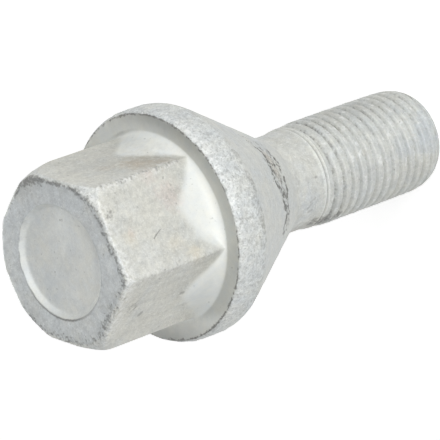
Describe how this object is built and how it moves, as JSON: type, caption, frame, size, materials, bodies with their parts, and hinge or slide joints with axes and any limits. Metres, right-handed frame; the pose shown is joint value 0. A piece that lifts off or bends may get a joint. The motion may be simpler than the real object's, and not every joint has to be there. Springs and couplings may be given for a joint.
{
  "type": "wheel bolt",
  "caption": "Forged wheel bolt with a hexagon head, wide collar, conical seat, plain neck and fine metric thread, in a matt light grey zinc-flake coat.",
  "frame": {"origin": "centre of the flat thread end, on which the bolt stands", "axes": "+Z along the bolt's axis from the thread end to the head, X through two opposite corners of the hexagon, Y through two opposite flats"},
  "size_m": [0.03, 0.03, 0.0624],
  "materials": {
    "zinc_flake_steel": "matt zinc-flake coat over forged steel, speckled, worn on the edges"
  },
  "bodies": {
    "root": {"wheel_bolt": "zinc_flake_steel"}
  },
  "joints": []
}
